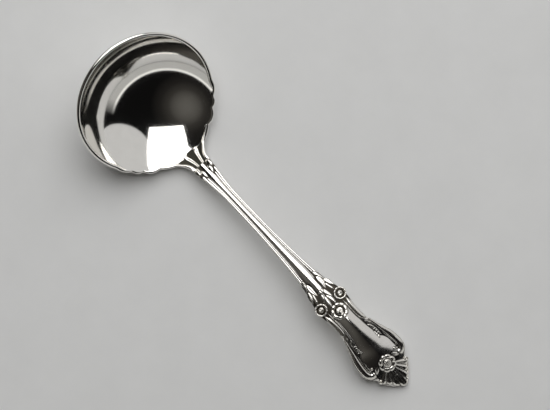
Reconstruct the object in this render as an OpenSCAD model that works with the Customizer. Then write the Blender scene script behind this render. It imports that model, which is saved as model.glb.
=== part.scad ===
// Gravy ladle of polished silver: a raised bowl on an arched, fluted handle with applied cast ornament.
// All sizes are in millimetres. The ladle lies on a table as it is put down: z = 0 is the table,
// +X runs from the bowl to the tip of the handle, and +Y is the right-hand side of the person who holds it.

/* [Bowl] */
// Diameter of the bowl over its lip
bowl_d = 55; // [52:0.5:58]
// Depth of the bowl from its rim, at the middle of the sheet
bowl_depth = 13.2; // [12.8:0.1:13.5]
// Thickness of the sheet that the bowl is raised from
bowl_wall = 1.2; // [1:0.1:1.4]
// Diameter of the rolled lip
lip_d = 1.6; // [1.6:0.1:2]
// Lean of the bowl towards the handle as the ladle lies, in degrees
bowl_lean = 36; // [33:0.5:36.5]
// Length of the shoulder from the rim up to the handle
shoulder_l = 9; // [8.5:0.5:10]
// Diameter of the worn flat that the bowl rests on
rest_d = 5; // [4:0.5:6]
// Width of the drop under the joint with the handle
drop_w = 6.8; // [5:0.2:7.4]
// Height of the drop under the joint
drop_h = 0.7; // [0.5:0.1:0.9]

/* [Handle] */
// Length of the handle from the shoulder to the tip, along the table
handle_l = 112; // [105:1:120]
// Width of the neck where the handle meets the shoulder
neck_w = 7.9; // [7.6:0.1:8.3]
// Height of the handle's middle over the table at the top of its arch
arch_h = 10.2; // [9.4:0.2:11]
// Width of the stem where it is narrowest
stem_w = 4.7; // [4.2:0.1:5.2]
// Width of the plate under the three blossoms
blossom_w = 12.8; // [12:0.2:14]
// Width of the waist between the blossoms and the broad end
waist_w = 11.2; // [10.8:0.2:12]
// Width of the broad end
end_w = 20.2; // [19:0.2:22]
// Thickness of the stem
stem_t = 2.4; // [2:0.1:2.8]
// Thickness of the edge of the broad end
end_t = 1.6; // [1.4:0.1:2]
// Height of the middle rib over the flutes of the stem
flute_h = 0.5; // [0.3:0.05:0.7]
// Width of the middle rib half-way along the stem
rib_w = 2.2; // [1.8:0.1:2.4]
// Width of the reed along each edge of the stem
reed_w = 0.55; // [0.4:0.05:0.6]
// Crown of the broad end over its edges
crown_h = 1.9; // [1.6:0.1:2.1]

/* [Ornament] */
// Diameter of the two side blossoms
side_blossom_d = 4.9; // [4.4:0.1:5.2]
// Diameter of the middle blossom
middle_blossom_d = 6.6; // [6:0.1:7]
// Diameter of the flower at the tip
tip_flower_d = 6.8; // [6.2:0.1:7]
// Number of petals of a blossom
petals = 8; // [6:1:10]
// Number of ridges of the shell at the tip
shell_ridges = 8; // [6:1:10]
// Height of the leaves and scrolls over the plate
relief_h = 0.6; // [0.5:0.1:0.8]
// Thickness of the film of solder under each ornament
solder = 0.03; // [0.02:0.01:0.05]

/* [Hidden] */
$fn = 96;
left = -1;
right = 1;
bright = "silver";
shaded = "lightgray";
large = 200;

// The bowl is part of a sphere, measured at the middle of its sheet.
rim_r = (bowl_d - lip_d) / 2;
sphere_r = (rim_r ^ 2 + bowl_depth ^ 2) / (2 * bowl_depth);
rim_angle = acos((sphere_r - bowl_depth) / sphere_r);
outer_r = sphere_r + bowl_wall / 2;
sphere_z = sqrt(outer_r ^ 2 - (rest_d / 2) ^ 2);

// The shoulder leaves the near rim along the wall, and the handle takes over its slope.
neck_slope = rim_angle - bowl_lean;
near_rim = [sphere_r * sin(neck_slope), sphere_z - sphere_r * cos(neck_slope)];
neck = near_rim + shoulder_l * [cos(neck_slope), sin(neck_slope)];

// Crown of the plate's top and back along the handle, as parts of the crown of the broad end, and how full
// the crown of the top is.
stem_crown = 0.25;
back_crown = 0.2;
tip_crown = 0.25;
crown_power = 1.4;

// The handle bends out of the shoulder, rises to the top of its arch and comes down to the tip, whose
// underside is worn flat on the table. The plate ends just short of the shell's edge.
bend_l = 10;
rise_slope = 0.12;
arch_at = 38;
plate_end = 1;
tip_slope = -0.34;
tip_wear = 0.35;
tip_z = (end_t / 2 + back_crown * tip_crown * crown_h) * sqrt(1 + tip_slope ^ 2) - tip_wear;

// The middle of the ladle's length lies over the origin.
far_x = -(sphere_r * sin(rim_angle + bowl_lean) + lip_d / 2);
tip_x = neck[0] + handle_l;
middle_x = (far_x + tip_x) / 2;

// Lobes of the shoulder: angle from the handle and rise over the rim where a lobe starts, and its bulge.
lobes = [[64, 0.6, 0.6], [49.5, 1, 0.6], [40.1, 1.28, 0.88], [26.1, 1.85, 0.5]];
lobe_steps = 6;
lip_gap = 58;

// The last lobe spans this angle. It lies on the shoulder's bend to the neck, drawn to this [y, rise].
last_lobe_span = 12;
bend_to = [3.8, 3.1];
bend_steps = 16;

// Places of the ornament, from the tip.
side_blossom_at = [42, 4.75];
middle_blossom_at = 37.2;
tip_flower_at = 10.8;

// Fan of the shell: reach from the middle of the flower ahead and to the sides, angle to each side, how it
// narrows ahead, how much its ridges crowd towards the middle, and depth of the notches between them.
shell_reach = 10.91;
shell_side_reach = 8;
shell_half_angle = 64;
shell_taper = 20;
shell_crowding = 1.3;
shell_ridge_depth = 0.6;

// Half widths of leaves, reeds and scrolls.
slim = 0.6;
middling = 0.75;
broad = 0.95;

function from_tip(d) = handle_l - d;
function on_side(path, side) = [for (p = path) [from_tip(p[0]), p[1] * side]];
function mix(a, b, t) = a + (b - a) * t;
function clamp(t, a, b) = min(b, max(a, t));
function ease(t) = let (c = clamp(t, 0, 1)) c * c * (3 - 2 * c);
function fade(x, a, b) = ease((x - a) / (b - a));

// Cubic from value a with slope m to value b with slope n, over a span of length l.
function cubic(t, l, a, m, b, n) =
    (2 * t ^ 3 - 3 * t ^ 2 + 1) * a + (t ^ 3 - 2 * t ^ 2 + t) * l * m
    + (3 * t ^ 2 - 2 * t ^ 3) * b + (t ^ 3 - t ^ 2) * l * n;

// Smooth curve through keys [place, value], in order of place.
function key_slope(k, i) =
    let (a = max(0, i - 1), b = min(len(k) - 1, i + 1))
    (k[b][1] - k[a][1]) / (k[b][0] - k[a][0]);
function through(k, x, i = 0) =
    i < len(k) - 2 && x > k[i + 1][0] ? through(k, x, i + 1) :
    let (l = k[i + 1][0] - k[i][0], t = clamp((x - k[i][0]) / l, 0, 1))
    cubic(t, l, k[i][1], key_slope(k, i), k[i + 1][1], key_slope(k, i + 1));

// Smooth plane curve through points, at t from 0 to 1.
function curve(p, t) =
    let (
        n = len(p) - 1,
        i = min(n - 1, floor(t * n)),
        x = [for (k = [0:n]) [k, p[k][0]]],
        y = [for (k = [0:n]) [k, p[k][1]]]
    )
    [through(x, t * n, i), through(y, t * n, i)];

// Half width of the handle's plate, from the neck to the tip.
outline = [
    [0, neck_w / 2],
    [4.5, neck_w * 0.437],
    [8, neck_w * 0.386],
    [12, neck_w * 0.327],
    [17, stem_w / 2],
    [25, stem_w / 2],
    [from_tip(77), stem_w * 0.53],
    [from_tip(66), stem_w * 0.64],
    [from_tip(57), stem_w * 0.79],
    [from_tip(50), blossom_w * 0.355],
    [from_tip(44.5), blossom_w * 0.46],
    [from_tip(40.5), blossom_w / 2],
    [from_tip(36.5), waist_w * 0.53],
    [from_tip(33), waist_w / 2],
    [from_tip(28.5), waist_w * 0.55],
    [from_tip(23), end_w * 0.4],
    [from_tip(18), end_w * 0.47],
    [from_tip(14.5), end_w / 2],
    [from_tip(11.5), end_w * 0.475],
    [from_tip(8.6), end_w * 0.36],
    [from_tip(5), end_w * 0.28],
    [from_tip(2.6), end_w * 0.19],
    [from_tip(plate_end), end_w * 0.08]
];
function half_w(x) = through(outline, x);

// Middle line of the handle over the table, as [place, height, slope] keys, and its slope.
spine_keys = [
    [0, neck[1], tan(neck_slope)],
    [bend_l, neck[1] + bend_l * (tan(neck_slope) + rise_slope) / 2, rise_slope],
    [from_tip(arch_at), arch_h, 0],
    [from_tip(plate_end), tip_z, tip_slope]
];
function spine(x, i = 0) =
    let (a = spine_keys[i], b = spine_keys[i + 1], l = b[0] - a[0])
    i < len(spine_keys) - 2 && x > b[0] ? spine(x, i + 1) :
    cubic((x - a[0]) / l, l, a[1], a[2], b[1], b[2]);
function spine_slope(x) = (spine(x + 0.1) - spine(x - 0.1)) / 0.2;

// Half thickness and crown of the handle's section. Its root is as thin and as dished as the shoulder.
root_l = 9;
root_curve = sin(rim_angle) / (rim_r + shoulder_l * cos(rim_angle));
function at_root(x) = 1 - fade(x, 0, root_l);
function half_t(x) =
    mix(mix(stem_t, end_t, fade(x, from_tip(60), from_tip(30))), bowl_wall, at_root(x)) / 2;
function crown(x) =
    crown_h * mix(stem_crown, 1, fade(x, from_tip(60), from_tip(25)))
    * (1 - at_root(x)) * mix(1, tip_crown, fade(x, from_tip(16), from_tip(4)));
function dish(x, y) = root_curve * y ^ 2 / 2 * at_root(x);
edge_power = 20;
function edge_round(v) = sqrt(max(0, 1 - abs(v) ^ edge_power));
function bump(v, at, w) = abs(v - at) < w ? cos(90 * (v - at) / w) ^ 2 : 0;

// Middle rib of the stem, which widens and then ends among the leaves, with a lower reed inside each edge.
rib_keys = [
    [0, rib_w * 0.25],
    [14, rib_w * 0.31],
    [27, rib_w * 0.39],
    [from_tip(72), rib_w / 2],
    [from_tip(56), rib_w * 0.82],
    [from_tip(51), rib_w * 0.7],
    [from_tip(48), rib_w * 0.3]
];
reed_part = 0.6;
function middle_rib(x, y) =
    (1 - fade(x, from_tip(52), from_tip(48.5))) * bump(y, 0, through(rib_keys, x));
function edge_reed(x, y) =
    reed_part * fade(x, 1, 8) * (1 - fade(x, from_tip(60), from_tip(53)))
    * bump(abs(y), half_w(x) - reed_w, reed_w);
function flutes(x, y) = flute_h * (middle_rib(x, y) + edge_reed(x, y));

// Heights of the top and the back over the middle surface, across v from -1 to 1 of the half width.
function top_h(x, v) =
    let (y = v * half_w(x))
    half_t(x) * edge_round(v) + crown(x) * (1 - abs(v) ^ crown_power) + dish(x, y) + flutes(x, y);
function back_h(x, v) =
    let (y = v * half_w(x))
    -half_t(x) * edge_round(v) - back_crown * crown(x) * (1 - v ^ 2) + dish(x, y)
    - drop_h * at_root(x) * bump(y, 0, drop_w / 2);

// Point of the handle at x along it, y across it and h over its middle surface. At the root it is set off
// square to the slope, as the shoulder's end is, and further on straight up.
function handle_point(x, y, h) =
    let (s = spine_slope(x), q = sqrt(1 + s ^ 2), r = at_root(x))
    [neck[0] - middle_x + x - r * h * s / q, y, spine(x) + h * mix(q, 1 / q, r)];

// Point at height h over the top of the handle, where p is [x, y]. Near the rounded edge the top runs on level,
// and sooner at the tip, which narrows fast.
function level_from(x) = mix(0.93, 0.8, fade(x, from_tip(6), from_tip(2)));
on_handle = function (p, h)
    let (level = level_from(p[0]), v = clamp(p[1] / half_w(p[0]), -level, level))
    handle_point(p[0], p[1], top_h(p[0], v) + h);

// Point off the middle of the bowl's sheet, where p is [run from the rim along the sheet, y] and off is
// positive inside. Below the rim the sheet follows the sphere, and above it the shoulder's straight slope.
function sheet_point(p, off) =
    let (
        run = p[0],
        a = rim_angle + min(run, 0) / sphere_r * 180 / PI,
        straight = max(run, 0),
        r = sphere_r * sin(a) + straight * cos(a),
        z = -sphere_r * cos(a) + straight * sin(a),
        turn = asin(p[1] / r),
        rr = r - off * sin(a),
        zz = z + off * cos(a),
        c = [rr * cos(turn), zz]
    )
    [
        c[0] * cos(bowl_lean) + c[1] * sin(bowl_lean) - middle_x,
        rr * sin(turn),
        sphere_z - c[0] * sin(bowl_lean) + c[1] * cos(bowl_lean)
    ];
in_bowl = function (p, h) sheet_point(p, bowl_wall / 2 + h);
under_bowl = function (p, h) sheet_point([p[0], -p[1]], -bowl_wall / 2 - h);

// Profiles along a rib, from 0 to 1 at t from 0 to 1, never quite a point.
leaf = function (t) 0.12 + 0.88 * sin(180 * t ^ 0.8);
club = function (t) 0.25 + 0.75 * sin(180 * t ^ 0.5);
reed = function (t) 0.15 + 0.85 * min(1, 5 * t, 5 * (1 - t));
crook = function (t) 0.3 + 0.7 * sin(180 * min(1, t * 1.1) ^ 1.4) + 0.5 * fade(t, 0.86, 0.97);
heel = function (t) 0.25 + 0.75 * fade(t, 0, 0.55);
lobed = function (t) (0.15 + 0.85 * sin(180 * t ^ 0.8)) * (1 + 0.2 * cos(1080 * t));

// Section of a rib: [place across, height], as parts of its half width and of its height over the solder.
dome = [[-1, 0.25], [-0.6, 0.8], [0, 1], [0.6, 0.8], [1, 0.25]];
twin = [[-1, 0.25], [-0.55, 1], [0, 0.35], [0.55, 1], [1, 0.25]];
swell = [[-1, 0.12], [-0.5, 0.5], [0, 1], [0.5, 0.5], [1, 0.12]];

// Skin of a closed tube whose rings of n points follow each other, with its two ends capped.
function tube_faces(rings, n) = concat(
    [for (i = [0:rings - 2], j = [0:n - 1]) each [
        [i * n + j, i * n + (j + 1) % n, (i + 1) * n + (j + 1) % n],
        [i * n + j, (i + 1) * n + (j + 1) % n, (i + 1) * n + j]
    ]],
    [for (j = [1:n - 2]) [0, j + 1, j]],
    [for (j = [1:n - 2]) let (e = (rings - 1) * n) [e, e + j, e + j + 1]]
);

// Raised rib along a plane curve through the points of path, laid on a surface.
module rib(path, half_width, height, along, on, section = dome, steps = 12) {
    points = [
        for (i = [0:steps])
            let (
                t = i / steps,
                c = curve(path, t),
                d = curve(path, min(1, t + 0.01)) - curve(path, max(0, t - 0.01)),
                side = [-d[1], d[0]] / norm(d),
                w = half_width * along(t),
                h = height * (0.4 + 0.6 * min(1, along(t)))
            )
            each concat(
                [for (s = section) on(c + side * w * s[0], mix(solder, h, s[1]))],
                [for (b = [1, 0.5, 0, -0.5, -1]) on(c + side * w * b, solder)]
            )
    ];
    polyhedron(points, tube_faces(steps + 1, len(section) + 5));
}

// Flower on the handle at [x, y]: petals round a dome. The cup gives the height at part r of the radius.
module flower(at, d, dome_part) {
    rings = [0.22, 0.4, 0.55, 0.78, 0.92, 1];
    n = 3 * petals;
    lobe = function (j) cos(360 * j * petals / n);
    cup = function (r, j)
        r < dome_part ? 1.25 - 0.5 * (r / dome_part) ^ 2 :
        0.45 + bump(r, 0.8, 0.28) * (0.55 + 0.25 * lobe(j));
    spot = function (r, j)
        at + r * d / 2 * (0.93 + 0.07 * lobe(j)) * [cos(360 * j / n), sin(360 * j / n)];
    points = concat(
        [on_handle(at, 1.25 * relief_h)],
        [for (r = rings, j = [0:n - 1]) on_handle(spot(r, j), cup(r, j) * relief_h)],
        [for (r = [1, 0.67, 0.33], j = [0:n - 1]) on_handle(spot(r, j), solder)],
        [on_handle(at, solder)]
    );
    bands = len(rings) + 2;
    last = len(points) - 1;
    faces = concat(
        [for (j = [0:n - 1]) [0, 1 + (j + 1) % n, 1 + j]],
        [for (i = [0:bands - 1], j = [0:n - 1])
            let (a = 1 + i * n + j, b = 1 + i * n + (j + 1) % n)
            each [[a, b, b + n], [a, b + n, a + n]]],
        [for (j = [0:n - 1]) [last, 1 + bands * n + j, 1 + bands * n + (j + 1) % n]]
    );
    polyhedron(points, faces);
}

// Frame of the bowl: the sphere's centre, with the bowl's axis along +Z.
module at_bowl() {
    translate([-middle_x, 0, sphere_z])
        rotate([0, bowl_lean, 0])
            children();
}

module below_table() {
    translate([-large / 2, -large / 2, -large])
        cube(large);
}

module beyond_neck() {
    translate([neck[0] - middle_x, 0, neck[1]])
        rotate([0, -neck_slope, 0])
            translate([0, -large / 2, -large / 2])
                cube(large);
}

// Plan of the shoulder's edge on one side, as [angle, rise] pairs turned into points round the axis.
function shoulder_spot(angle, rise) =
    (rim_r + rise * cos(rim_angle)) * [cos(angle), sin(angle)];
function lobe_edge() = [
    for (i = [0:len(lobes) - 2], k = [0:lobe_steps - 1])
        let (t = k / lobe_steps, a = lobes[i], b = lobes[i + 1])
        shoulder_spot(mix(a[0], b[0], t), mix(a[1], b[1], t) + a[2] * sin(180 * t))
];
function neck_edge() =
    let (last = lobes[len(lobes) - 1], start = shoulder_spot(last[0], last[1]))
    [
        for (k = [0:bend_steps])
            let (
                t = k / bend_steps,
                a = (1 - t) ^ 2,
                b = 2 * t * (1 - t),
                y = a * start[1] + b * bend_to[0] + t ^ 2 * (neck_w / 2 - 0.2),
                rise = a * last[1] + b * bend_to[1] + t ^ 2 * (shoulder_l + 2),
                angle = asin(y / (rim_r + rise * cos(rim_angle))),
                part = clamp((last[0] - angle) / last_lobe_span, 0, 1)
            )
            shoulder_spot(angle, rise + last[2] * sin(180 * part) ^ 0.8)
    ];

module shoulder() {
    side = concat([[0, 20]], lobe_edge(), neck_edge());
    mirrored = [for (i = [len(side) - 1:-1:0]) [side[i][0], -side[i][1]]];
    rim = [sphere_r * sin(rim_angle), -sphere_r * cos(rim_angle)];
    run = (shoulder_l + 4) * [cos(rim_angle), sin(rim_angle)];
    half = bowl_wall / 2 * [-sin(rim_angle), cos(rim_angle)];
    intersection() {
        rotate_extrude()
            polygon([rim - half, rim + run - half, rim + run + half, rim + half]);
        translate([0, 0, -large / 2])
            linear_extrude(large)
                polygon(concat(side, mirrored));
    }
}

module bowl_shell() {
    reach = 3 * sphere_r;
    rotate_extrude()
        intersection() {
            difference() {
                circle(outer_r);
                circle(outer_r - bowl_wall);
            }
            polygon([
                [0, 0], [0, -reach], [reach * sin(rim_angle), -reach],
                [reach * sin(rim_angle), -reach * cos(rim_angle)]
            ]);
        }
}

module lip() {
    rotate([0, 0, lip_gap])
        rotate_extrude(angle = 360 - 2 * lip_gap)
            translate([rim_r, -sphere_r * cos(rim_angle)])
                circle(d = lip_d, $fn = 32);
}

module bowl() {
    color(bright)
        difference() {
            at_bowl() {
                bowl_shell();
                shoulder();
                lip();
            }
            below_table();
            beyond_neck();
        }
}

module handle() {
    across = 22;
    steps = 58;
    tip_steps = 4;
    end = from_tip(plate_end);
    // The last step, where the tip narrows fast, is divided again.
    places = concat(
        [for (i = [0:steps - 1]) end * i / steps],
        [for (i = [1:tip_steps]) end * (steps - 1 + i / tip_steps) / steps]
    );
    v = [for (j = [0:across]) sin(mix(-90, 90, j / across))];
    points = [
        for (x = places)
            each concat(
                [for (j = [0:across]) handle_point(x, v[j] * half_w(x), top_h(x, v[j]))],
                [for (j = [across - 1:-1:1]) handle_point(x, v[j] * half_w(x), back_h(x, v[j]))]
            )
    ];
    color(bright)
        difference() {
            polyhedron(points, tube_faces(len(places), 2 * across));
            below_table();
        }
}

module back_drop() {
    color(shaded)
        rib([[-2.5, 0], [3, 0], [shoulder_l, 0]], drop_w / 2, drop_h, heel, under_bowl, swell);
}

module neck_leaf(side) {
    path = [[2.2, 2.8], [3.5, 2.4], [5, 1.85], [7, 1.4], [8.8, 1.1]];
    color(bright)
        rib([for (p = path) [p[0], p[1] * side]], middling, relief_h, club, in_bowl, twin);
}

module neck_bud(side) {
    path = [[0.3, 2.2], [1.8, 2.6], [3.4, 2.9]];
    color(shaded)
        rib([for (p = path) [p[0], p[1] * side]], middling, relief_h, leaf, on_handle);
}

module edge_leaf(side) {
    path = [[54.6, 2.6], [52, 3.4], [49.5, 4.1], [45.6, 5.35]];
    color(shaded)
        rib(on_side(path, side), slim, relief_h, leaf, on_handle);
}

module stem_leaf(side) {
    path = [[52.4, 2.3], [49.8, 2.5], [47.4, 2.9], [45.2, 3.9]];
    color(shaded)
        rib(on_side(path, side), middling, relief_h, leaf, on_handle);
}

module calyx_leaf(side) {
    path = [[47.8, 0.75], [45.2, 1.1], [43, 1.7], [41.2, 2]];
    color(bright)
        rib(on_side(path, side), slim, relief_h, leaf, on_handle);
}

module side_blossom(side) {
    color(bright)
        flower([from_tip(side_blossom_at[0]), side * side_blossom_at[1]], side_blossom_d, 0.5);
}

module middle_blossom() {
    color(bright)
        flower([from_tip(middle_blossom_at), 0], middle_blossom_d, 0.5);
}

module waist_reed(side) {
    path = [[38.6, 5], [36, 4.6], [33, 4.45], [30.6, 4.6], [28.9, 5.1]];
    color(bright)
        rib(on_side(path, side), broad, relief_h * 0.8, reed, on_handle, twin);
}

module border_leaf(side) {
    path = [[27, 4.9], [24.5, 5.2], [22, 5.2], [19.8, 5.2]];
    color(shaded)
        rib(on_side(path, side), broad, relief_h * 0.8, lobed, on_handle, dome, 18);
}

module end_scroll(side) {
    path = [[27.8, 6.05], [23, 7.2], [18.5, 8.4], [15, 8.85], [12.6, 8.75], [11, 7.9], [10.4, 6]];
    color(bright)
        rib(on_side(path, side), broad, relief_h, crook, on_handle, dome, 24);
}

module tip_flower() {
    color(bright)
        flower([from_tip(tip_flower_at), 0], tip_flower_d, 0.55);
}

// Fan of ridges round the tip flower, whose lobed edge forms the tip.
module tip_shell() {
    across = 8 * shell_ridges;
    out = 7;
    inner = tip_flower_d / 2 + 0.2;
    ridge = function (v) abs(sin(180 * shell_ridges * v));
    turn = function (v)
        let (s = mix(-1, 1, v))
        shell_half_angle * sign(s) * abs(s) ^ shell_crowding;
    reach = function (v)
        let (ahead = exp(-(turn(v) / shell_taper) ^ 2))
        mix(shell_side_reach, shell_reach, ahead) - shell_ridge_depth * (1 - ridge(v));
    spot = function (u, v)
        let (a = turn(v), r = mix(inner, reach(v), u))
        [from_tip(tip_flower_at) + r * cos(a), r * sin(a)];
    height = function (u, v)
        relief_h * (0.35 + 0.75 * ridge(v) * bump(u, 0.65, 0.8));
    rows = [for (i = [0:out]) sin(90 * i / out)];
    top = [for (u = rows, j = [0:across]) on_handle(spot(u, j / across), height(u, j / across))];
    base = [for (u = rows, j = [0:across]) on_handle(spot(u, j / across), solder)];
    n = across + 1;
    under = len(top);
    faces = concat(
        [for (i = [0:out - 1], j = [0:across - 1])
            let (a = i * n + j)
            each [
                [a, a + 1, a + n + 1], [a, a + n + 1, a + n],
                [under + a, under + a + n + 1, under + a + 1], [under + a, under + a + n, under + a + n + 1]
            ]],
        [for (j = [0:across - 1])
            let (a = j, b = out * n + j)
            each [
                [a, under + a, under + a + 1], [a, under + a + 1, a + 1],
                [b, under + b + 1, under + b], [b, b + 1, under + b + 1]
            ]],
        [for (i = [0:out - 1])
            let (a = i * n, b = i * n + across)
            each [
                [a, under + a + n, under + a], [a, a + n, under + a + n],
                [b, under + b, under + b + n], [b, under + b + n, b + n]
            ]]
    );
    color(bright)
        polyhedron(concat(top, base), faces);
}

bowl();
handle();
back_drop();
neck_leaf(left);  // neck_leaf_left
neck_leaf(right);  // neck_leaf_right
neck_bud(left);  // neck_bud_left
neck_bud(right);  // neck_bud_right
edge_leaf(left);  // edge_leaf_left
edge_leaf(right);  // edge_leaf_right
stem_leaf(left);  // stem_leaf_left
stem_leaf(right);  // stem_leaf_right
calyx_leaf(left);  // calyx_leaf_left
calyx_leaf(right);  // calyx_leaf_right
side_blossom(left);  // blossom_left
side_blossom(right);  // blossom_right
middle_blossom();  // blossom_centre
waist_reed(left);  // waist_reed_left
waist_reed(right);  // waist_reed_right
border_leaf(left);  // border_leaf_left
border_leaf(right);  // border_leaf_right
end_scroll(left);  // end_scroll_left
end_scroll(right);  // end_scroll_right
tip_flower();
tip_shell();
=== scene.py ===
"""Looks of a silver gravy ladle: polished bowl, fluted handle, leaves, blossoms, scrolls and a shell.

Sizes are in millimetres and are turned into metres when a mesh is made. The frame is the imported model's:
z = 0 is the table, +X runs from the bowl to the tip, and +Y is the right-hand side of the holder.
"""

import math

import bpy
import numpy as np
from mathutils import Matrix, Quaternion, Vector
from mathutils.kdtree import KDTree


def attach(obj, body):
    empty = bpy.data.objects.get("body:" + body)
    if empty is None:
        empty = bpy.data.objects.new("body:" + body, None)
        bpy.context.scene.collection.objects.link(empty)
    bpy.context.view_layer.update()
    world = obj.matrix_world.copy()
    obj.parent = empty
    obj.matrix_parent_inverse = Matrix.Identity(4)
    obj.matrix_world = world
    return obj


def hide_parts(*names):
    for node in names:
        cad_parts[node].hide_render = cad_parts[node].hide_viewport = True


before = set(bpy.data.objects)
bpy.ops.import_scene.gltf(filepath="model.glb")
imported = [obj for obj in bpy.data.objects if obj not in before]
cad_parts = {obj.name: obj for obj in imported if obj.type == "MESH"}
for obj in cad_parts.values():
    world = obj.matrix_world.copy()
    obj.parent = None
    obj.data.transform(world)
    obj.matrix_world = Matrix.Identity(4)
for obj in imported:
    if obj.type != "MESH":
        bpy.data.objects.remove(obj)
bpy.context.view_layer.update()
MM = 0.001
SIDES = {"left": -1, "right": 1}

# Bowl
BOWL_D = 55.0
BOWL_DEPTH = 13.2
WALL = 1.2
LIP_D = 1.6
LEAN = math.radians(36)
SHOULDER_L = 9.0
REST_D = 5.0
DROP_W = 6.8
DROP_H = 0.7

# Angles from the handle between which the shoulder's edge swells to the lip
LIP_SWELL = (54, 62)

# Lobes of the shoulder: angle from the handle and rise over the rim where a lobe starts, and its bulge.
# The last one runs into the bend to the neck, which is drawn to a distance from the middle and a rise.
LOBES = [(64, 0.6, 0.6), (49.5, 1.0, 0.6), (40.1, 1.28, 0.88), (26.1, 1.85, 0.5)]
LAST_LOBE_SPAN = 12
BEND_TO = (3.8, 3.1)

# Rolled edge of the shoulder: angles from the handle between which it dies away, and the runs past the rim
# over which it rises and falls
EDGE_ROLL_W = 1.3
EDGE_ROLL_H = 0.25
EDGE_ROLL_AWAY = (30, 42)
EDGE_ROLL_RUNS = (0.6, 1.8, 7.6, 8.8)

# Sunk ground of the neck: run past the rim where it starts in the middle, how much later it starts at the
# sides, the length of its slope, how far its tarnish and painted shade run ahead of it into the bowl over
# the lit step, and the runs between which the scroll ribs sink with it
HOLLOW_FROM = 2.0
HOLLOW_LATER = 1.1
HOLLOW_SLOPE_L = 0.5
SHADE_AND_TARNISH_LEAD = 0.45
SCROLL_SINK = (2.4, 3.3)

# Handle
HANDLE_L = 112.0
NECK_W = 7.9
ARCH_H = 10.2
ARCH_AT = 38.0
STEM_W = 4.7
BLOSSOM_W = 12.8
WAIST_W = 11.2
END_W = 20.2
STEM_T = 2.4
END_T = 1.6
FLUTE_H = 0.2
RIM_W = 0.45
RIM_H = 0.18
FIELD_POWER = 1.4
FIELD_GROOVE_H = 0.15
FIELD_GROOVE_W = 0.9
FIELD_GROOVE_OFF = 0.2
CROWN_H = 1.9
PLAIN_CROWN = 0.37
PLAIN_POWER = 3
STEM_CROWN = 0.1
BACK_CROWN = 0.2
TIP_CROWN = 0.25
ROOT_L = 9.0
BEND_L = 10.0
RISE_SLOPE = 0.12
PLATE_END = 1.0
TIP_SLOPE = -0.34
TIP_WEAR = 0.35

# Ornament, with the level of its underside. Its places are distances from the tip and from the middle.
SIDE_BLOSSOM_D = 4.9
MIDDLE_BLOSSOM_D = 6.6
TIP_FLOWER_D = 6.8
RELIEF_H = 0.6
UNDERSIDE = -0.15
SIDE_BLOSSOM_AT = (42.0, 4.75)
MIDDLE_BLOSSOM_AT = 37.2
TIP_FLOWER_AT = 10.8

# Height of ribs, as a least height and the share of their width, or half width, that is added
RIB_RISE = (0.05, 0.24)
ROLL_RISE = (0.03, 0.06)
REED_RISE = (0.03, 0.1)
LEAF_RISE = (0.08, 0.26)

# Shell of the tip: the spread of its ridges to either side, their reach from the flower's middle, which is
# longest at the tip, the notches between their ends, how sharp their crests are, and how much they crowd
# towards the middle
SHELL_RIDGES = 8
SHELL_SPREAD = math.radians(64)
SHELL_REACH = 8.0
SHELL_TIP_REACH = 2.89
SHELL_TIP_SPREAD = math.radians(20)
SHELL_NOTCH = 0.6
SHELL_CREST = 0.97
SHELL_CROWDING = 1.3

# Mesh: rings of the bowl up to its knee, from there to the edge and round the edge, steps along the
# handle, points across its top and back and across the ribs, and the angle up to which shading is smooth
KNEE_RUN = -4.0
LOW_RINGS = 40
HIGH_RINGS = 60
EDGE_RINGS = 15
HANDLE_STEPS = 520
TOP_POINTS = 121
BACK_POINTS = 47
RIB_POINTS = 21
UNDER_POINTS = 5
SMOOTH_TO = math.radians(58)

# Values that follow from those: the bowl is part of a sphere, and the handle starts at its shoulder's end.
RIM_R = (BOWL_D - LIP_D) / 2
SPHERE_R = (RIM_R**2 + BOWL_DEPTH**2) / (2 * BOWL_DEPTH)
RIM_ANGLE = math.acos((SPHERE_R - BOWL_DEPTH) / SPHERE_R)
SPHERE_Z = math.sqrt((SPHERE_R + WALL / 2) ** 2 - (REST_D / 2) ** 2)
BOTTOM_RUN = -SPHERE_R * RIM_ANGLE
NECK_ANGLE = RIM_ANGLE - LEAN
NECK_SLOPE = math.tan(NECK_ANGLE)
NECK_X = SPHERE_R * math.sin(NECK_ANGLE) + SHOULDER_L * math.cos(NECK_ANGLE)
NECK_Z = SPHERE_Z - SPHERE_R * math.cos(NECK_ANGLE) + SHOULDER_L * math.sin(NECK_ANGLE)
NECK_R = RIM_R + SHOULDER_L * math.cos(RIM_ANGLE)
FAR_X = -(SPHERE_R * math.sin(RIM_ANGLE + LEAN) + LIP_D / 2)
MIDDLE_X = (FAR_X + NECK_X + HANDLE_L) / 2
TIP_Z = (END_T / 2 + BACK_CROWN * TIP_CROWN * CROWN_H) * math.hypot(1, TIP_SLOPE) - TIP_WEAR
ROOT_CURVE = math.sin(RIM_ANGLE) / NECK_R


def from_tip(d):
    return HANDLE_L - d


def mix(a, b, t):
    return a + (b - a) * t


def ease(t):
    c = np.clip(t, 0, 1)
    return c * c * (3 - 2 * c)


def fade(x, a, b):
    """0 at a, 1 at b, smooth between."""
    return ease((np.asarray(x, float) - a) / (b - a))


def end_fade(x, a, b):
    """Fade between two distances from the tip."""
    return fade(x, from_tip(a), from_tip(b))


def span(x, a, b, c, d):
    """0 up to a, 1 from b to c and 0 from d, smooth between."""
    return fade(x, a, b) * (1 - fade(x, c, d))


def end_span(x, *distances):
    """Span between four distances from the tip."""
    return span(x, *(from_tip(d) for d in distances))


def bump(x, at, half):
    """Hump of height 1 at a place, with soft feet at half its width to either side."""
    d = np.abs(np.asarray(x, float) - at) / half
    return np.where(d < 1, np.cos(np.pi / 2 * np.minimum(d, 1)) ** 2, 0)


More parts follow.
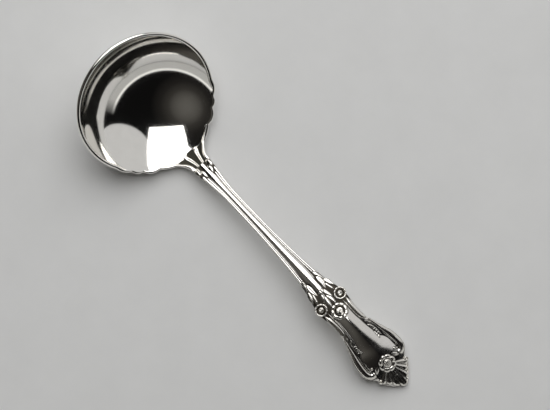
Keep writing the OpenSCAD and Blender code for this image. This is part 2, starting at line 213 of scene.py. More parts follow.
def arch(x, at, half):
    """Round hump of height 1 at a place, with sharp feet at half its width to either side."""
    return np.maximum(0, 1 - ((np.asarray(x, float) - at) / half) ** 2)


def rise(heights, width):
    """Height of a rib of some width, from its least height and the share of the width that is added."""
    least, share = heights
    return least + share * width


def spline(place, value, slope, x):
    """Smooth curve through values with given slopes at places in rising order, also past its ends."""
    place, value, slope, x = (np.asarray(a, float) for a in (place, value, slope, x))
    i = np.clip(np.searchsorted(place, x) - 1, 0, len(place) - 2)
    length = place[i + 1] - place[i]
    t = (x - place[i]) / length
    return (
        (2 * t**3 - 3 * t**2 + 1) * value[i]
        + (t**3 - 2 * t**2 + t) * length * slope[i]
        + (3 * t**2 - 2 * t**3) * value[i + 1]
        + (t**3 - t**2) * length * slope[i + 1]
    )


def through(keys, x):
    """Smooth curve through keys (place, value), level past its ends."""
    place, value = np.array(keys, float).T
    slope = np.empty_like(value)
    slope[1:-1] = (value[2:] - value[:-2]) / (place[2:] - place[:-2])
    slope[0] = (value[1] - value[0]) / (place[1] - place[0])
    slope[-1] = (value[-1] - value[-2]) / (place[-1] - place[-2])
    return spline(place, value, slope, np.clip(x, place[0], place[-1]))


def curve(path, t):
    """Points of a smooth plane curve through the points of path, at t from 0 to 1."""
    place = np.arange(len(path))
    at = np.asarray(t) * (len(path) - 1)
    columns = [through(list(zip(place, column)), at) for column in np.array(path, float).T]
    return np.stack(columns, axis=-1)


# Surface of the handle

# Half width of the handle along its length
OUTLINE = [
    (0, NECK_W / 2),
    (4.5, NECK_W * 0.437),
    (8, NECK_W * 0.386),
    (12, NECK_W * 0.327),
    (17, STEM_W / 2),
    (25, STEM_W / 2),
    (from_tip(77), STEM_W * 0.53),
    (from_tip(66), STEM_W * 0.64),
    (from_tip(57), STEM_W * 0.79),
    (from_tip(50), BLOSSOM_W * 0.355),
    (from_tip(44.5), BLOSSOM_W * 0.46),
    (from_tip(40.5), BLOSSOM_W / 2),
    (from_tip(36.5), WAIST_W * 0.53),
    (from_tip(33), WAIST_W / 2),
    (from_tip(28.5), WAIST_W * 0.55),
    (from_tip(23), END_W * 0.4),
    (from_tip(18), END_W * 0.47),
    (from_tip(14.5), END_W / 2),
    (from_tip(11.5), END_W * 0.475),
    (from_tip(8.6), END_W * 0.36),
    (from_tip(5), END_W * 0.28),
    (from_tip(2.6), END_W * 0.19),
    (from_tip(PLATE_END), END_W * 0.08),
]

# Middle line of the handle over the table, as (place, height, slope)
SPINE = [
    (0, NECK_Z, NECK_SLOPE),
    (BEND_L, NECK_Z + BEND_L * (NECK_SLOPE + RISE_SLOPE) / 2, RISE_SLOPE),
    (from_tip(ARCH_AT), ARCH_H, 0),
    (from_tip(PLATE_END), TIP_Z, TIP_SLOPE),
]

# Between the stem's rib and edge lie a groove, a reed, a thin groove and a roll. All but the first have
# these shares of the room.
ROLL_SHARE = 0.45
THIN_SHARE = 0.08
REED_SHARE = 0.22

# Stretches, by distance from the neck, over which the neck's rolled edge ends and the stem's roll and reed
# start
NECK_ROLL_END = (2.7, 3.2)
ROLL_START = (3.7, 4.4)
REED_START = (5.2, 6)

# Stretches, by distance from the tip, over which the stem's relief ends. The roll's end slants.
GROUND_END = (50, 46)
ROLL_END = (54.6, 54.1)
ROLL_END_SLANT = 0.85
ROLL_END_SIDE = 2.5
REED_END = (54, 52)
RIB_END = (46.5, 45.5)

# Stretches, by distance from the tip, where the field starts, and where its groove and the plate's rim run
FIELD_START = (39.5, 35.5)
GROOVE_STRETCH = (40, 36, 13, 11)
RIM_STRETCH = (28.5, 27, 10, 8.5)

# Stretch, by distance from the tip, where the ground among the ornaments is darkened with painted shade
# and tarnish
CLUSTER_STRETCH = (54, 52, 38.5, 35.5)

# Stretch of the stem that a hand rubs bright, which starts by distance from the neck and ends by distance
# from the tip
RUBBED_START = (4, 8)
RUBBED_END = (60, 54)

# Half width of the stem's rib, and half width and rise of the domed field
RIB = [
    (0, 0.85),
    (5, 1.0),
    (9, 0.88),
    (14, 0.7),
    (27, 0.82),
    (from_tip(72), 1.1),
    (from_tip(62), 1.45),
    (from_tip(56), 1.8),
    (from_tip(51), 1.75),
    (from_tip(48.5), 1.6),
    (from_tip(46.7), 1.0),
    (from_tip(45.5), 0.3),
]
FIELD = [
    (from_tip(41), 3.1),
    (from_tip(33), 3.2),
    (from_tip(28), 3.5),
    (from_tip(24), 4.1),
    (from_tip(21), 4.9),
    (from_tip(18), 6.3),
    (from_tip(15), 6.6),
    (from_tip(7), 6.6),
    (from_tip(3.5), 5),
    (from_tip(0), 3),
]
FIELD_RISE = [
    (from_tip(40), 0.2),
    (from_tip(34), 1),
    (from_tip(28), 1.1),
    (from_tip(20), 1.4),
    (from_tip(16), 1.85),
    (from_tip(12), 1.9),
    (from_tip(7), 1.6),
    (from_tip(3), 1.1),
    (from_tip(0), 0.7),
]


def half_w(x):
    return through(OUTLINE, x)


def spine(x):
    return spline(*zip(*SPINE), x)


def at_root(x):
    return 1 - fade(x, 0, ROOT_L)


def half_t(x):
    plate = mix(STEM_T, END_T, end_fade(x, 60, 30))
    return mix(plate, WALL, at_root(x)) / 2


def crown(x):
    grown = mix(STEM_CROWN, 1, end_fade(x, 60, 25))
    shrunk = mix(1, TIP_CROWN, end_fade(x, 16, 4))
    return CROWN_H * grown * shrunk * (1 - at_root(x))


def edge_round(v):
    return np.sqrt(np.maximum(0, 1 - np.abs(v) ** 20))


def dish(x, y):
    return ROOT_CURVE * y**2 / 2 * at_root(x)


def inside_roll(inset):
    """1 past the rolled edge of the neck, by the distance from its edge."""
    return fade(inset, 0.7 * EDGE_ROLL_W, 1.2 * EDGE_ROLL_W)


def stem_ribs(x, y):
    """Broad rib that ends among the leaves, with a roll along each edge and a thin reed between.

    Gives their height over the ground, and the part of its depth that the ground has sunk.
    """
    side = np.abs(y)
    inset = half_w(x) - side
    rib_half = through(RIB, x)
    room = half_w(x) - rib_half
    roll_w = ROLL_SHARE * room
    reed_w = REED_SHARE * room
    reed_at = roll_w + THIN_SHARE * room + reed_w / 2
    slanted = x - ROLL_END_SLANT * (side - ROLL_END_SIDE)
    sunk = mix(inside_roll(inset), 1, fade(x, *NECK_ROLL_END)) * (1 - end_fade(x, *GROUND_END))
    rolled = fade(x, *ROLL_START) * (1 - end_fade(slanted, *ROLL_END))
    reeded = fade(x, *REED_START) * (1 - end_fade(x, *REED_END))
    rib = rise(RIB_RISE, rib_half) * arch(side, 0, rib_half) * (1 - end_fade(x, *RIB_END))
    roll = rise(ROLL_RISE, roll_w) * arch(inset, roll_w / 2, roll_w / 2) * rolled
    reed = rise(REED_RISE, reed_w) * arch(inset, reed_at, reed_w / 2) * reeded
    return np.maximum(rib, np.maximum(roll, reed)), sunk


def stem_relief(x, y):
    ribs, sunk = stem_ribs(x, y)
    return ribs - FLUTE_H * sunk


def field_relief(x, y):
    """Smooth domed field of the broad end with a groove round it, and a rim along the plate's edge."""
    side = np.abs(y)
    half = through(FIELD, x)
    domed = through(FIELD_RISE, x) * np.maximum(0, 1 - (side / half) ** FIELD_POWER)
    groove = FIELD_GROOVE_H * bump(side, half + FIELD_GROOVE_OFF, FIELD_GROOVE_W / 2)
    rim = RIM_H * arch(half_w(x) - side, RIM_W / 2, RIM_W / 2)
    grooved = end_span(x, *GROOVE_STRETCH)
    rimmed = end_span(x, *RIM_STRETCH)
    return domed * end_fade(x, *FIELD_START) - groove * grooved + rim * rimmed


def top_h(x, v):
    """Height of the handle's top over its middle surface, at v from -1 to 1 of the half width."""
    y = v * half_w(x)
    crowned = PLAIN_CROWN * crown(x) * (1 - np.abs(v) ** PLAIN_POWER)
    plain = half_t(x) * edge_round(v) + crowned + dish(x, y)
    return plain + stem_relief(x, y) + field_relief(x, y)


def back_h(x, v):
    y = v * half_w(x)
    plain = -half_t(x) * edge_round(v) - BACK_CROWN * crown(x) * (1 - v**2) + dish(x, y)
    return plain - DROP_H * at_root(x) * bump(y, 0, DROP_W / 2)


def handle_point(x, y, h):
    """Points at x along the handle, y across it and h over its middle surface.

    At the root they are set off square to the slope, as the shoulder's end is, and further on straight up.
    """
    x, y, h = np.broadcast_arrays(*(np.asarray(a, float) for a in (x, y, h)))
    slope = (spine(x + 0.1) - spine(x - 0.1)) / 0.2
    q = np.hypot(1, slope)
    root = at_root(x)
    along = NECK_X - MIDDLE_X + x - root * h * slope / q
    return np.stack([along, y, spine(x) + h * mix(q, 1 / q, root)], axis=-1)


def on_handle(x, y, h):
    """Points at height h over the top of the handle. Past its edge, the top runs on level."""
    return handle_point(x, y, top_h(x, np.clip(y / half_w(x), -0.9, 0.9)) + h)


# Surface of the bowl


def bowl_point(run, turn, off):
    """Points off the middle of the bowl's sheet, at a run along it from the rim and a turn round the axis.

    Below the rim the sheet follows the sphere, and above it the straight slope of the shoulder.
    """
    run, turn, off = np.broadcast_arrays(*(np.asarray(a, float) for a in (run, turn, off)))
    a = RIM_ANGLE + np.minimum(run, 0) / SPHERE_R
    straight = np.maximum(run, 0)
    r = SPHERE_R * np.sin(a) + straight * np.cos(a) - off * np.sin(a)
    z = -SPHERE_R * np.cos(a) + straight * np.sin(a) + off * np.cos(a)
    c = r * np.cos(turn)
    return np.stack(
        [
            c * math.cos(LEAN) + z * math.sin(LEAN) - MIDDLE_X,
            r * np.sin(turn),
            SPHERE_Z - c * math.sin(LEAN) + z * math.cos(LEAN),
        ],
        axis=-1,
    )


def sheet_r(run):
    """Distance of the bowl's sheet from its axis."""
    on_sphere = SPHERE_R * np.sin(RIM_ANGLE + np.minimum(run, 0) / SPHERE_R)
    return on_sphere + np.maximum(run, 0) * math.cos(RIM_ANGLE)


def from_middle(run, turn):
    """Distance of the bowl's sheet from the plane through the middle of the handle."""
    return sheet_r(run) * np.sin(np.abs(turn))


def in_bowl(run, y, h):
    return bowl_point(run, np.arcsin(y / sheet_r(run)), WALL / 2 + h)


def on_neck(run, y, h):
    return in_bowl(run, y, h - FLUTE_H * fade(run, *SCROLL_SINK))


def under_bowl(run, y, h):
    return bowl_point(run, np.arcsin(-y / sheet_r(run)), -WALL / 2 - h)


def shoulder_bend():
    """Half width and rise of the shoulder's edge, from its last lobe to past the neck."""
    last_a, last_rise, _ = LOBES[-1]
    start_y = sheet_r(last_rise) * math.sin(math.radians(last_a))
    t = np.linspace(0, 1, 60)
    y = (1 - t) ** 2 * start_y + 2 * t * (1 - t) * BEND_TO[0] + t**2 * (NECK_W / 2 - 0.2)
    height = (1 - t) ** 2 * last_rise + 2 * t * (1 - t) * BEND_TO[1] + t**2 * (SHOULDER_L + 2)
    return y, height


def bowl_edge(turn):
    """Run of the bowl's edge past the rim, round the axis, and run of the cut that ends it at the neck."""
    away = np.degrees(np.abs(turn))
    edge = np.full_like(turn, LIP_D / 2)
    for (a0, r0, bulge), (a1, r1, _) in zip(LOBES, LOBES[1:]):
        t = (away - a0) / (a1 - a0)
        lobe = mix(r0, r1, t) + bulge * np.sin(np.pi * np.clip(t, 0, 1))
        edge = np.where((away <= a0) & (away >= a1), np.maximum(edge, lobe), edge)
    last_a, _, bulge = LOBES[-1]
    y, height = shoulder_bend()
    bend_turn = np.degrees(np.arcsin(y / sheet_r(height)))
    bend = np.interp(away, bend_turn[::-1], height[::-1])
    bend = bend + bulge * np.sin(np.pi * np.clip((last_a - away) / LAST_LOBE_SPAN, 0, 1)) ** 0.8
    edge = np.where(away < last_a, bend, edge)
    cos_a, sin_a = math.cos(RIM_ANGLE), math.sin(RIM_ANGLE)
    cut = SHOULDER_L * sin_a**2 + NECK_R * cos_a - RIM_R * np.cos(turn) * cos_a
    return edge, cut / (np.cos(turn) * cos_a**2 + sin_a**2)


def edge_inset(run, turn, edge):
    """Distance of the shoulder's points from its edge."""
    bend_y, bend_rise = shoulder_bend()
    return np.minimum(edge - run, np.interp(run, bend_rise, bend_y) - from_middle(run, turn))


def neck_hollow(run, turn, edge, lead=0):
    """1 where the ground of the neck is sunk under its scroll ribs. lead moves its start to the bowl."""
    start = HOLLOW_FROM + HOLLOW_LATER * fade(from_middle(run, turn), 0.8, 2.4) - lead
    return fade(run, start, start + HOLLOW_SLOPE_L) * inside_roll(edge_inset(run, turn, edge))


def neck_relief(run, turn, edge):
    """Sunk ground of the neck, and the rolled edge of the shoulder."""
    rolled = (1 - fade(np.degrees(np.abs(turn)), *EDGE_ROLL_AWAY)) * span(run, *EDGE_ROLL_RUNS)
    roll = EDGE_ROLL_H * bump(edge_inset(run, turn, edge), EDGE_ROLL_W / 2, EDGE_ROLL_W / 2) * rolled
    return roll - FLUTE_H * neck_hollow(run, turn, edge)


# Meshes


def tube_faces(rings, n):
    """Faces of a closed tube of rings of n points each, with capped ends."""
    faces = [
        (i * n + j, i * n + (j + 1) % n, (i + 1) * n + (j + 1) % n, (i + 1) * n + j)
        for i in range(rings - 1)
        for j in range(n)
    ]
    last = (rings - 1) * n
    return faces + [tuple(range(n - 1, -1, -1)), tuple(range(last, last + n))]


def dome_faces(rings, n):
    """Faces of a closed skin: a first point, rings of n points each, and a last point."""
    last = 1 + rings * n
    faces = [(0, 1 + (j + 1) % n, 1 + j) for j in range(n)]
    for i in range(rings - 1):
        for j in range(n):
            a, b = 1 + i * n + j, 1 + i * n + (j + 1) % n
            faces.append((a, b, b + n, a + n))
    return faces + [(last, last - n + j, last - n + (j + 1) % n) for j in range(n)]


class Form:
    """Points and faces of a piece, with how deep in its recesses each point lies, from 0 to 1, which
    darkens it with tarnish and painted shade.
    """

    def __init__(self):
        self.points = []
        self.faces = []
        self.recess = []
        self.count = 0

    def add(self, points, faces, recess):
        points = np.asarray(points, float).reshape(-1, 3)
        self.points.append(points)
        self.faces += [[i + self.count for i in face] for face in faces]
        self.recess.append(np.broadcast_to(np.asarray(recess, float).ravel(), (len(points),)))
        self.count += len(points)
        return self

    def all_points(self):
        return np.concatenate(self.points)


def make_piece(node, form, material):
    """Mesh object that stands for a node of the frame."""
    points = form.all_points()
    points[:, 2] = np.maximum(points[:, 2], 0)
    mesh = bpy.data.meshes.new(f"{node}_form")
    mesh.from_pydata((points * MM).tolist(), [], form.faces)
    mesh.validate()
    mesh.shade_smooth()
    mesh.set_sharp_from_angle(angle=SMOOTH_TO)
    recess = mesh.attributes.new("recess", "FLOAT", "POINT")
    recess.data.foreach_set("value", np.concatenate(form.recess))
    mesh.materials.append(material)
    piece = bpy.data.objects.new(f"{node}_form", mesh)
    bpy.context.scene.collection.objects.link(piece)
    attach(piece, "root")
    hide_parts(node)
    return piece


# Ribs: leaves, buds, reeds and scrolls. Shapes give the width along a rib at t from 0 to 1, and sections
# its height at q from -1 to 1 across it.


def leaf_shape(t):
    return 0.04 + 0.96 * np.sin(np.pi * t**0.8) ** 0.8


def bud_shape(t):
    return 0.05 + 0.95 * np.sin(np.pi * t) ** 0.5


def reed_shape(t):
    return 0.1 + 0.9 * np.minimum(1, np.minimum(6 * t, 6 * (1 - t)))


def club_shape(t):
    """Round head that narrows to a tail."""
    head_l = 0.18
    head = np.sqrt(np.maximum(0, 1 - ((t - head_l) / head_l) ** 2))
    return 0.03 + 0.97 * np.where(t < head_l, head, mix(1, 0.5, (t - head_l) / (1 - head_l)))


def roll_shape(t):
    """Thin start that swells to a full roll with a round end."""
    end = np.sqrt(np.maximum(0, 1 - (np.maximum(t - 0.95, 0) / 0.05) ** 2))
    return 0.03 + 0.97 * mix(0.35, 1, fade(t, 0, 0.4)) * end


def heel_shape(t):
    return 0.25 + 0.75 * fade(t, 0, 0.55)


def arch_section(q, t):
    return 1 - q**2


def swell_section(q, t):
    return np.cos(np.pi / 2 * q) ** 1.5


def veined_section(q, t):
    vein = np.exp(-((q / 0.16) ** 2)) * fade(t, 0.05, 0.3)
    return (1 - np.abs(q) ** 2.4) ** 0.6 * (1 - 0.4 * vein)


def scroll_section(q, t):
    """Round head that parts into a double rib."""
    twin = np.abs(np.sin(np.pi * np.clip(np.abs(q), 0, 1))) ** 0.7 * (1 - 0.1 * q) + 0.02
    return mix(arch_section(q, t), twin, fade(t, 0.2, 0.45))


def add_rib(form, path, half, height, shape, on, section=arch_section, steps=48):
    """Closed rib along a plane curve, laid on a surface and sunk a little into it."""
    t = np.linspace(0, 1, steps + 1)[:, None]
    middle = curve(path, t[:, 0])
    ahead = curve(path, np.minimum(1, t[:, 0] + 0.01)) - curve(path, np.maximum(0, t[:, 0] - 0.01))
    across = np.stack([-ahead[:, 1], ahead[:, 0]], axis=-1) / np.linalg.norm(ahead, axis=1)[:, None]
    q_top = np.sin(np.linspace(-np.pi / 2, np.pi / 2, RIB_POINTS))[None, :]
    q_under = np.linspace(1, -1, UNDER_POINTS)[None, :]
    wide = half * shape(t)
    tall = height * (0.35 + 0.65 * np.minimum(1, shape(t)))
    top_height = tall * section(q_top, t)
    rows = []
    for q, h in ((q_top, top_height), (q_under, np.full((steps + 1, UNDER_POINTS), UNDERSIDE))):
        place = middle[:, None, :] + across[:, None, :] * (wide * q)[..., None]
        rows.append(on(place[..., 0], place[..., 1], h))
    # Painted shade and tarnish darken the low feet of the rib
    dark_top = 1 - fade(top_height / height, 0.05, 0.4)
    recess = np.concatenate([dark_top, np.ones((steps + 1, UNDER_POINTS))], axis=1)
    form.add(np.concatenate(rows, axis=1), tube_faces(steps + 1, RIB_POINTS + UNDER_POINTS), recess)
    return form


def add_neck_rib(form, path, half, shape, side, on, section=arch_section, steps=48):
    """Rib on one side of the neck, along a path of places and distances from the middle."""
    places = [(x, y * side) for x, y in path]
    return add_rib(form, places, half, rise(LEAF_RISE, half), shape, on, section, steps)


def add_ornament(form, path, half, shape, side, section=arch_section, steps=48, fullness=1):
    """Rib on one side of the handle, along a path of distances from the tip and from the middle."""
    places = [(from_tip(d), y * side) for d, y in path]
    return add_rib(form, places, half, fullness * rise(LEAF_RISE, half), shape, on_handle, section, steps)


# Flowers, beads and the shell. Heights are given at r from 0 to 1 of the radius and an angle a.


def add_cap(form, middle, radius, height, on, edge=None, rings=28, spokes=96):
    """Closed cap on a surface. height(r, a) is over the surface, and edge(a) is the part of the radius."""
    r = np.sin(np.linspace(0, np.pi / 2, rings + 1))[1:, None]
    a = np.linspace(0, 2 * np.pi, spokes, endpoint=False)[None, :]
    reach = radius * (edge(a) if edge else np.ones_like(a))
    x = middle[0] + r * reach * np.cos(a)
    y = middle[1] + r * reach * np.sin(a)
    h = np.broadcast_to(height(r, a), x.shape)
    base_x = middle[0] + reach * np.cos(a)
    base_y = middle[1] + reach * np.sin(a)
    points = np.concatenate(
        [
            on(*(np.full((1,), c) for c in middle), height(np.zeros((1, 1)), np.zeros((1, 1)))[0]),
            on(x, y, h).reshape(-1, 3),
            on(base_x, base_y, np.full_like(base_x, UNDERSIDE)).reshape(-1, 3),
            on(*(np.full((1,), c) for c in middle), np.full((1,), UNDERSIDE)),
        ]
    )
    # Painted shade and tarnish darken the low parts of the cap, between its petals and round its eye
    dark = 1 - fade(h / h.max(), 0.25, 0.65)
    recess = np.concatenate([[0], dark.ravel(), np.ones(spokes + 1)])
    form.add(points, dome_faces(rings + 1, spokes), recess)
    return form


def dome(r, reach):
    return np.sqrt(np.maximum(0, 1 - (r / reach) ** 2))


def ring(r, at, half):
    """Round ring of height 1 at a part of the radius."""
    return np.sqrt(arch(r, at, half))


def add_bead(form, middle, radius, height, on):
    def bead_height(r, a):
        return height * dome(r, 1.02) + 0 * a

    return add_cap(form, middle, radius, bead_height, on, rings=12, spokes=32)


def petal_lobe(a, count):
    return np.abs(np.cos(count / 2 * a)) ** 0.35


def petal_edge(count, depth):
    return lambda a: 1 - depth + depth * petal_lobe(a, count)


def bud(r, a, reach):
    """Domed bud of wrapped petals."""
    return dome(r, reach) * (0.85 + 0.15 * np.cos(2 * a + 9 * r / reach))


def stipple(r, a, reach, dots):
    """Small bumps set as in a sunflower's eye, on a disc of the given part of the radius."""
    k = np.arange(dots) + 0.5
    dot_r = reach * np.sqrt(k / dots)
    dot_a = k * np.pi * (3 - math.sqrt(5))
    off_x = (r * np.cos(a))[..., None] - dot_r * np.cos(dot_a)
    off_y = (r * np.sin(a))[..., None] - dot_r * np.sin(dot_a)
    gap = np.min(np.hypot(off_x, off_y), axis=-1)
    return np.exp(-((gap / (reach * 0.8 / math.sqrt(dots))) ** 2))


def side_blossom_height(r, a):
    """Bud in a deep cup with a thin scalloped wall."""
    wall = 0.1 + 0.9 * ring(r, 0.86, 0.15) * (0.88 + 0.12 * petal_lobe(a, 10))
    return RELIEF_H * np.maximum(1.2 * bud(r, a, 0.46), wall)


def middle_blossom_height(r, a):
    """Bud in a dark ring, in a cup of nine curled petals."""
    cup = 0.1 + 0.95 * ring(r, 0.8, 0.21) * (0.45 + 0.55 * petal_lobe(a, 9))
    return RELIEF_H * np.maximum(1.4 * bud(r, a, 0.48), cup)


def small_bud_height(r, a):
    """Small bud on the blossom's lower petals."""
    return 0.75 * bud(r, a, 1.02)


def tip_flower_height(r, a):
    """Eight round petals about a stippled dome."""
    eye = (1.1 + 0.22 * stipple(r, a, 0.44, 36)) * dome(r, 0.53)
    cup = 0.1 + 0.95 * arch(r, 0.77, 0.26) ** 0.75 * (0.2 + 0.8 * petal_lobe(a, 8))
    return RELIEF_H * np.maximum(eye, cup)


def volute_height(r, a):
    """Small rolled ring."""
    return 0.1 + 0.35 * ring(r, 0.66, 0.33) + 0 * a


# Pieces


def turns_round_bowl():
    """Angles round the bowl's axis, close together at the neck, where edge and relief are finest."""
    bands = [(-62, -28, 0.5), (-28, 28, 0.3), (28, 62, 0.5), (62, 298, 1.6)]
    stretches = [np.linspace(a, b, round((b - a) / step), endpoint=False) for a, b, step in bands]
    degrees = np.concatenate(stretches)
    return np.radians(np.where(degrees > 180, degrees - 360, degrees))


def edge_radius(turn, flat):
    """Radius of the bowl's rounded edge: the shoulder's, the lip's further round, and none at the cut."""
    lipped = fade(np.degrees(np.abs(turn)), *LIP_SWELL)
    return np.where(flat, 0, mix(WALL / 2 * 0.98, LIP_D / 2, lipped))


def sheet_runs(end):
    """Runs of the bowl's rings, from the bottom to the knee and closer together from there to the end."""
    low = np.linspace(BOTTOM_RUN, KNEE_RUN, LOW_RINGS)[None, 1:] + 0 * end
    high = mix(KNEE_RUN, end, np.linspace(0, 1, HIGH_RINGS)[None, 1:-1])
    return np.concatenate([low, high], axis=1)


def make_bowl(material):
    """Raised bowl with rolled lip, lobed shoulders and hollows at the neck."""
    turn = turns_round_bowl()[:, None]
    edge, cut = bowl_edge(turn)
    flat = edge >= cut
    round_r = edge_radius(turn, flat)
    centre = np.minimum(edge, cut) - round_r
    sheet = sheet_runs(centre)
    off = np.sqrt(np.maximum((WALL / 2) ** 2, round_r**2 - (sheet - centre) ** 2))
    off_in = off + neck_relief(sheet, turn, edge)
    half_turn = np.linspace(0, np.pi, EDGE_RINGS)[None, :]
    round_run = centre + round_r * np.sin(half_turn)
    cut_face = mix(-WALL / 2, off_in[:, -1:], (1 + np.cos(half_turn)) / 2)
    round_off = np.where(flat, cut_face, round_r * np.cos(half_turn))
    run = np.concatenate([sheet, round_run, sheet[:, ::-1]], axis=1)
    offs = np.concatenate([off_in, round_off, -off[:, ::-1]], axis=1)
    rings = bowl_point(run, turn, offs).transpose(1, 0, 2)
    first, last = (bowl_point(BOTTOM_RUN, 0, side * WALL / 2)[None] for side in (1, -1))
    # Painted shade and tarnish in the neck's hollows, run a little ahead into the bowl over the lit step
    hollow = neck_hollow(sheet, turn, edge, SHADE_AND_TARNISH_LEAD)
    hidden = np.where(flat, hollow[:, -1:], 0) + 0 * half_turn
    dark = np.concatenate([hollow, hidden, 0 * sheet], axis=1).T
    form = Form().add(
        np.concatenate([first, rings.reshape(-1, 3), last]),
        dome_faces(rings.shape[0], len(turn)),
        np.concatenate([[0], dark.ravel(), [0]]),
    )
    return make_piece("bowl", form, material)


def gap_to(ornaments, points):
    """Distance of each point from the nearest point of the ornaments."""
    tree = KDTree(len(ornaments))
    for i, p in enumerate(ornaments):
        tree.insert(p, i)
    tree.balance()
    gaps = [tree.find(p)[2] for p in points.reshape(-1, 3)]
    return np.array(gaps).reshape(points.shape[:-1])


def handle_recess(x, y, gap):
    """Painted shade and tarnish in the grooves, on the ground among leaves and blossoms, and close to the
    ornaments.

    Along the stem, the hand that holds it rubs the grooves a little brighter.
    """
    ribs, sunk = stem_ribs(x, y)
    rubbed = fade(x, *RUBBED_START) * (1 - end_fade(x, *RUBBED_END))
    stem_groove = sunk * (1 - fade(ribs, 0.01, 0.06)) * (1 - 0.2 * rubbed)
    field_groove = fade(-field_relief(x, y), 0.02, 0.2)
    ground = end_span(x, *CLUSTER_STRETCH) * (1 - fade(stem_relief(x, y), 0.02, 0.15))
    beside = 1 - fade(gap, 0.05, 0.4)
    return np.maximum.reduce([stem_groove, field_groove, ground, beside])


def make_handle(material, ornaments):
    """Arched plate with rib, flutes and reeds, with painted shade and tarnish in its grooves and round the
    ornaments.
    """
    x = np.linspace(0, from_tip(PLATE_END), HANDLE_STEPS + 1)[:, None]
    v_top = np.sin(np.linspace(-np.pi / 2, np.pi / 2, TOP_POINTS))[None, :]
    v_back = np.sin(np.linspace(np.pi / 2, -np.pi / 2, BACK_POINTS + 2))[None, 1:-1]
    y = v_top * half_w(x)
    top = handle_point(x, y, top_h(x, v_top))
    back = handle_point(x, v_back * half_w(x), back_h(x, v_back))
    dark = handle_recess(x, y, gap_to(ornaments, top))
    form = Form().add(
        np.concatenate([top, back], axis=1),
        tube_faces(HANDLE_STEPS + 1, TOP_POINTS + BACK_POINTS),
        np.concatenate([dark, np.zeros(back.shape[:2])], axis=1),
    )
    return make_piece("handle", form, material)


def back_drop_form():
    """Rounded heel under the joint of bowl and handle."""
    path = [(-2.5, 0), (3, 0), (SHOULDER_L, 0)]
    return add_rib(Form(), path, DROP_W / 2, DROP_H, heel_shape, under_bowl, swell_section)


def neck_leaf_form(side):
    """Scroll rib with a rounded head, from the bowl's shoulder to the root of the stem."""
    crest = [(2.2, 2.8), (3.5, 2.4), (5, 1.85), (7, 1.4), (9, 1.1)]
    return add_neck_rib(Form(), crest, 0.95, club_shape, side, on_neck, scroll_section, 96)


def neck_bud_form(side):
    """Round bud at the edge of the neck, and the leaf inside it."""
    form = Form()
    add_neck_rib(form, [(-0.1, 2.45), (1.4, 2.75), (2.9, 2.95)], 1, bud_shape, side, on_handle)
    return add_neck_rib(form, [(2, 1.5), (3.5, 1.65), (5.1, 1.35)], 0.78, leaf_shape, side, on_handle)


def edge_leaf_form(side):
    """Two pointed leaves, one behind the other, on the edge of the stem."""
    form = Form()
    add_ornament(form, [(54.6, 2.6), (52.5, 3.25), (50, 4.2)], 0.68, leaf_shape, side)
    return add_ornament(form, [(50, 3.85), (48, 4.5), (45.6, 5.35)], 0.82, leaf_shape, side)


def stem_leaf_form(side):
    """Veined leaf beside the rib, and the stalk of the blossom."""
    form = Form()
    add_ornament(form, [(52.4, 2.4), (49.6, 2.6), (47, 2.1)], 1.05, leaf_shape, side, veined_section)
    return add_ornament(form, [(48.4, 3.15), (46.8, 3.5), (44.6, 4.1)], 0.42, reed_shape, side)


def calyx_leaf_form(side):
    """Leaf and bud at the end of the middle rib."""
    form = Form()
    add_ornament(form, [(47.8, 0.4), (45.2, 1.05), (43, 1.95)], 1.02, leaf_shape, side)
    return add_ornament(form, [(44.8, 0.35), (42.6, 0.85), (40.3, 1.05)], 0.85, bud_shape, side)


def side_blossom_form(side):
    middle = (from_tip(SIDE_BLOSSOM_AT[0]), side * SIDE_BLOSSOM_AT[1])
    radius = SIDE_BLOSSOM_D / 2
    edge = petal_edge(10, 0.06)
    return add_cap(Form(), middle, radius, side_blossom_height, on_handle, edge, rings=44, spokes=180)


def middle_blossom_form():
    """Large blossom below the two others, with a small bud on its lower petals."""
    middle = (from_tip(MIDDLE_BLOSSOM_AT), 0)
    radius = MIDDLE_BLOSSOM_D / 2
    edge = petal_edge(9, 0.1)
    form = add_cap(Form(), middle, radius, middle_blossom_height, on_handle, edge, rings=48, spokes=198)
    return add_cap(form, (from_tip(35.5), 0), 0.85, small_bud_height, on_handle, rings=20, spokes=48)


def waist_reed_form(side):
    """Broad roll along the edge of the waist, and the thin reed inside it."""
    form = Form()
    roll = [(39.4, 5.3), (36, 4.95), (33, 4.85), (30.6, 5), (28.9, 5.4)]
    reed = [(39.4, 3.75), (36, 3.65), (33, 3.6), (30.8, 3.85), (29.4, 4.6)]
    add_ornament(form, roll, 0.85, reed_shape, side, steps=72, fullness=1.4)
    return add_ornament(form, reed, 0.3, reed_shape, side, steps=72)


def border_leaf_form(side):
    """Notched leaf between the smooth field and the border of the broad end."""
    form = Form()
    add_ornament(form, [(28.2, 4.75), (26.8, 5.4), (25.4, 6.35)], 0.35, leaf_shape, side)
    add_ornament(form, [(26.5, 4.3), (25.2, 4.9), (23.7, 5.7)], 0.48, leaf_shape, side)
    for k in range(4):
        d = 23.8 - 0.95 * k
        for start, bend, end in ((5, 4.6, 4.35), (5.1, 5.5, 5.75)):
            lobe = [(d, start), (d - 0.5, bend), (d - 1.2, end)]
            add_ornament(form, lobe, 0.32, leaf_shape, side, steps=20, fullness=0.6)
    return form


